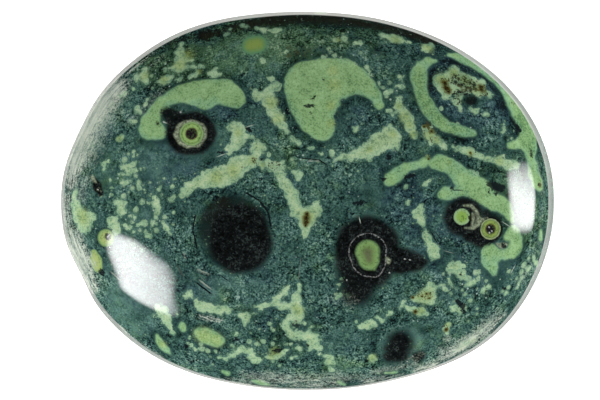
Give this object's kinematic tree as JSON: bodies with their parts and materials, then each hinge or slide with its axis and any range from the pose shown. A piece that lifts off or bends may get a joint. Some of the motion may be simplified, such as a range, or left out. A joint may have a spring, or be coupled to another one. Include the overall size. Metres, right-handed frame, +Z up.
{
  "type": "polished kambaba jasper palm stone",
  "caption": "Smooth oval palm stone of green orbicular jasper, domed above and rounded below, with a small flat seat that it lies on.",
  "frame": {"origin": "on the table, under the middle of the stone's box", "axes": "+X along the length of the oval, +Y across it, +Z up from the flat seat to the domed face that the picture shows"},
  "size_m": [0.068, 0.0522, 0.024],
  "materials": {
    "polished_jasper": "polished"
  },
  "bodies": {
    "root": {"kambaba_palm_stone": "polished_jasper"}
  },
  "joints": []
}
